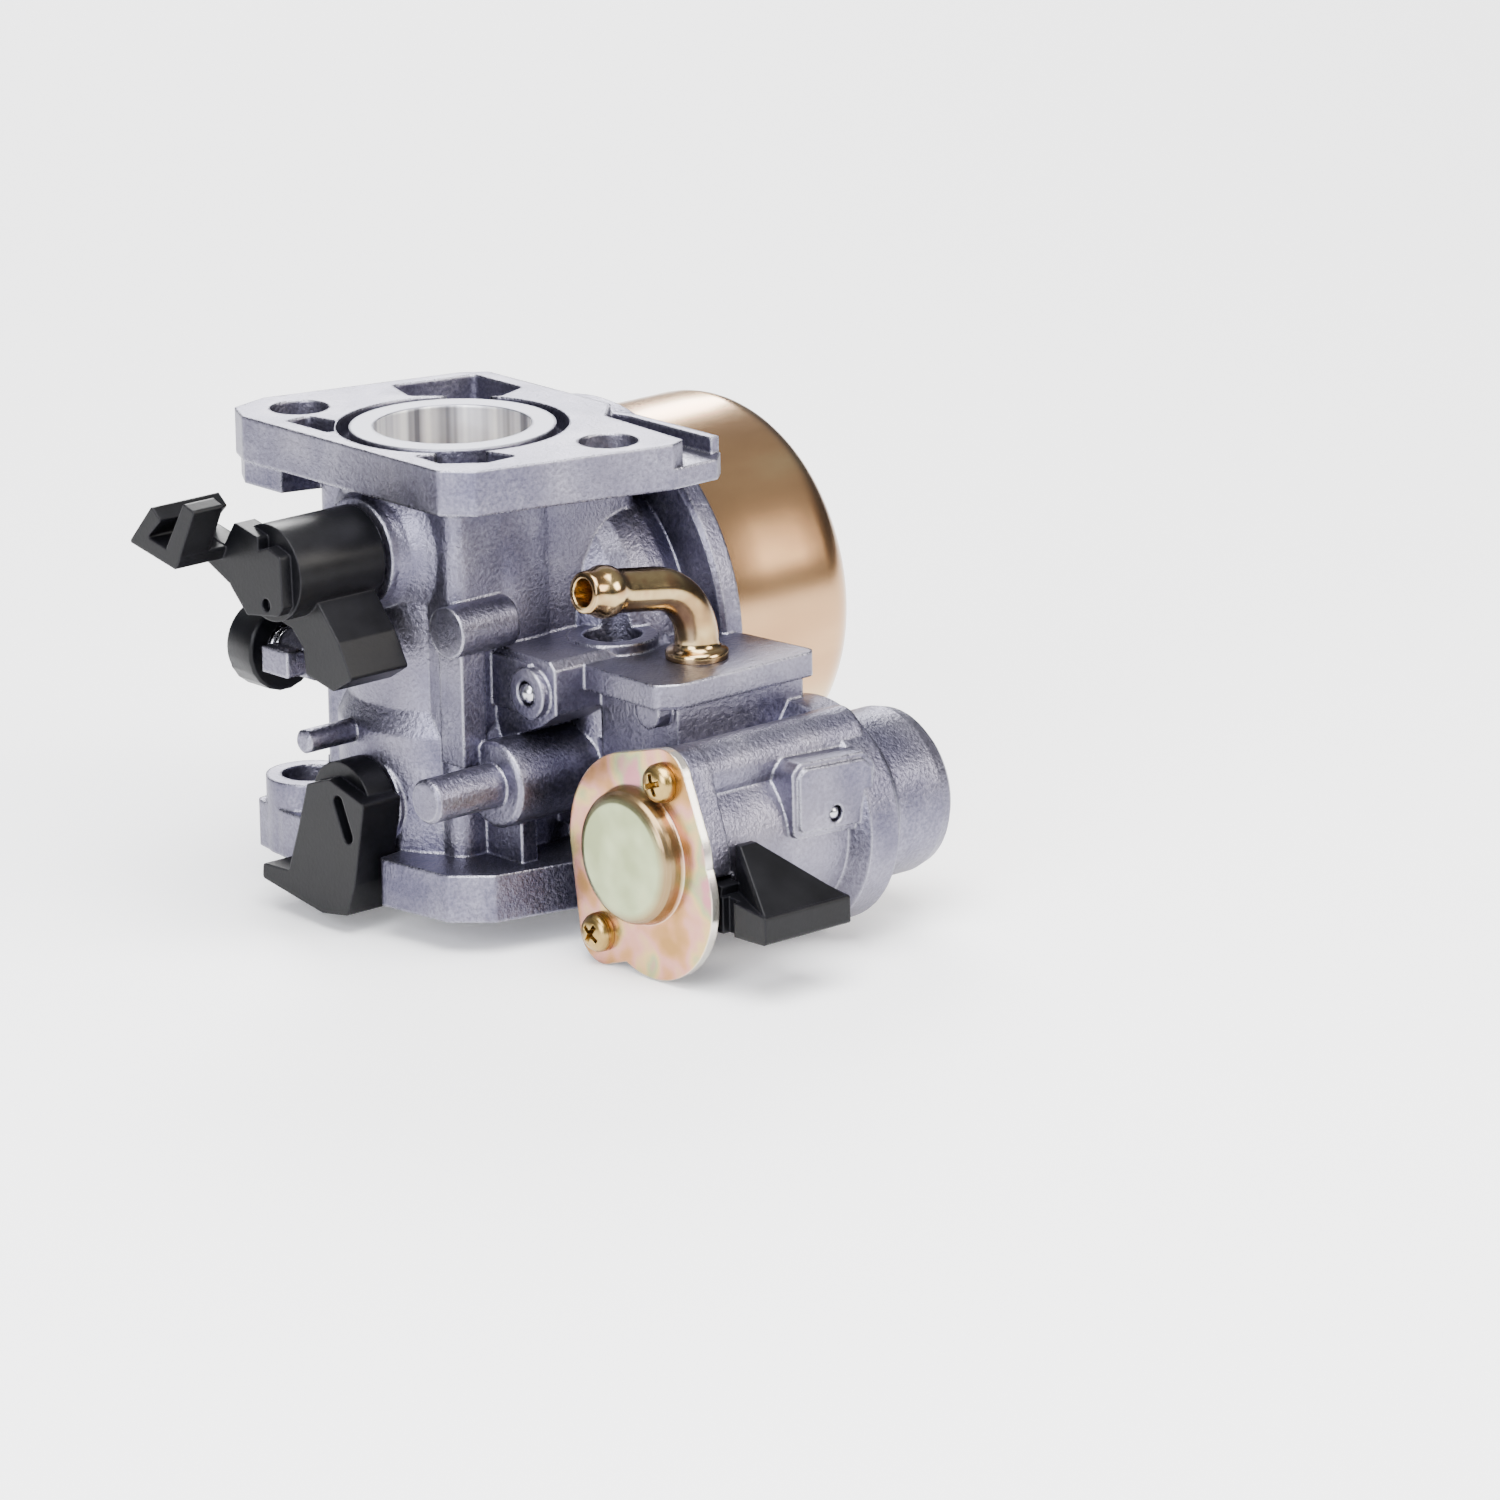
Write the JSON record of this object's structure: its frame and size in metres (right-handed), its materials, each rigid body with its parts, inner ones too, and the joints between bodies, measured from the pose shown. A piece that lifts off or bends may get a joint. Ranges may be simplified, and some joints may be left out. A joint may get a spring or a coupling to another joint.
{
  "type": "carburetor",
  "caption": "Float-bowl carburetor for a small engine, with throttle and choke plates on pivoting shafts, a sheet-steel float bowl, and a lever-operated fuel valve with an elbow nipple.",
  "frame": {"origin": "centre of the throat at the air-side face", "axes": "+Z along the throat from the air side to the engine side; +X towards the bottom of the float bowl, which hangs down on the engine; -X towards the throttle lever and the choke arm; -Y towards the fuel valve"},
  "size_m": [0.087, 0.0859, 0.0591],
  "materials": {
    "cast_aluminium": "as die cast, fine grain, machined on the faces and bores",
    "black_plastic": "satin moulded glass-filled nylon",
    "ground_steel": "ground and lightly polished",
    "brass": "turned",
    "yellow_zinc_steel": "zinc plated, yellow passivated",
    "yellow_zinc_bowl": "drawn sheet, zinc plated, yellow passivated, satin",
    "copper": "soft washer, dull",
    "black_rubber": "matt moulded nitrile",
    "float_plastic": "satin moulded acetal",
    "strainer_nylon": "moulded nylon gauze"
  },
  "bodies": {
    "casting": {"carburetor_body": "cast_aluminium", "throttle_shaft_seal": "black_rubber", "idle_speed_spring": "ground_steel", "pilot_jet": "brass", "pilot_jet_o_ring": "black_rubber", "mixture_screw_spring": "ground_steel", "main_nozzle": "brass", "main_jet": "brass", "float_hinge_pin": "ground_steel", "needle_seat": "brass", "bowl_gasket": "black_rubber", "float_bowl": "yellow_zinc_bowl", "bowl_bolt": "yellow_zinc_steel", "bowl_bolt_washer": "copper", "drain_screw": "yellow_zinc_steel", "drain_washer": "copper", "fuel_elbow": "yellow_zinc_steel", "valve_packing": "black_rubber", "valve_wave_washer": "ground_steel", "valve_cover_plate": "yellow_zinc_steel", "valve_cover_screws": "yellow_zinc_steel", "sediment_cup": "cast_aluminium", "sediment_cup_o_ring": "black_rubber", "fuel_strainer": "strainer_nylon", "passage_balls": "ground_steel"},
    "throttle": {"throttle_shaft": "ground_steel", "throttle_valve": "brass", "throttle_valve_screws": "yellow_zinc_steel", "throttle_lever": "black_plastic"},
    "choke": {"choke_shaft": "ground_steel", "choke_valve": "ground_steel", "choke_valve_screw": "yellow_zinc_steel", "choke_arm": "black_plastic"},
    "idle_screw": {"idle_speed_screw": "black_plastic"},
    "mixture": {"mixture_screw": "brass"},
    "float_body": {"float": "float_plastic"},
    "needle": {"inlet_needle": "ground_steel"},
    "fuel_lever": {"fuel_valve_lever": "black_plastic"}
  },
  "joints": [
    {"name": "throttle_hinge", "type": "hinge", "parent": "casting", "child": "throttle", "pos_m": [0, 0, 0.042], "axis": [-1, 0, 0], "range_deg": [0, 75]},
    {"name": "choke_hinge", "type": "hinge", "parent": "casting", "child": "choke", "pos_m": [0, 0, 0.01125], "axis": [1, 0, 0], "range_deg": [0, 70]},
    {"name": "fuel_lever_hinge", "type": "hinge", "parent": "casting", "child": "fuel_lever", "pos_m": [0, -0.039, 0.0108], "axis": [1, 0, 0], "range_deg": [0, 65]},
    {"name": "float_hinge", "type": "hinge", "parent": "casting", "child": "float_body", "pos_m": [0.0265, 0, 0.0465], "axis": [0, -1, 0], "range_deg": [0, 10]},
    {"name": "needle_slide", "type": "slide", "parent": "casting", "child": "needle", "axis": [1, 0, 0], "range_m": [0, 0.001]},
    {"name": "idle_screw_hinge", "type": "hinge", "parent": "casting", "child": "idle_screw", "pos_m": [-0.021, 0.005, 0.0302], "axis": [0, 1, 0], "range_deg": [-180, 180]},
    {"name": "mixture_screw_hinge", "type": "hinge", "parent": "casting", "child": "mixture", "pos_m": [0.004, 0.019, 0.038], "axis": [0, 1, 0], "range_deg": [-180, 180]}
  ],
  "couplings": [
    {"joint": "needle_slide", "follows": "float_hinge", "m_per_rad": 0.00573}
  ]
}
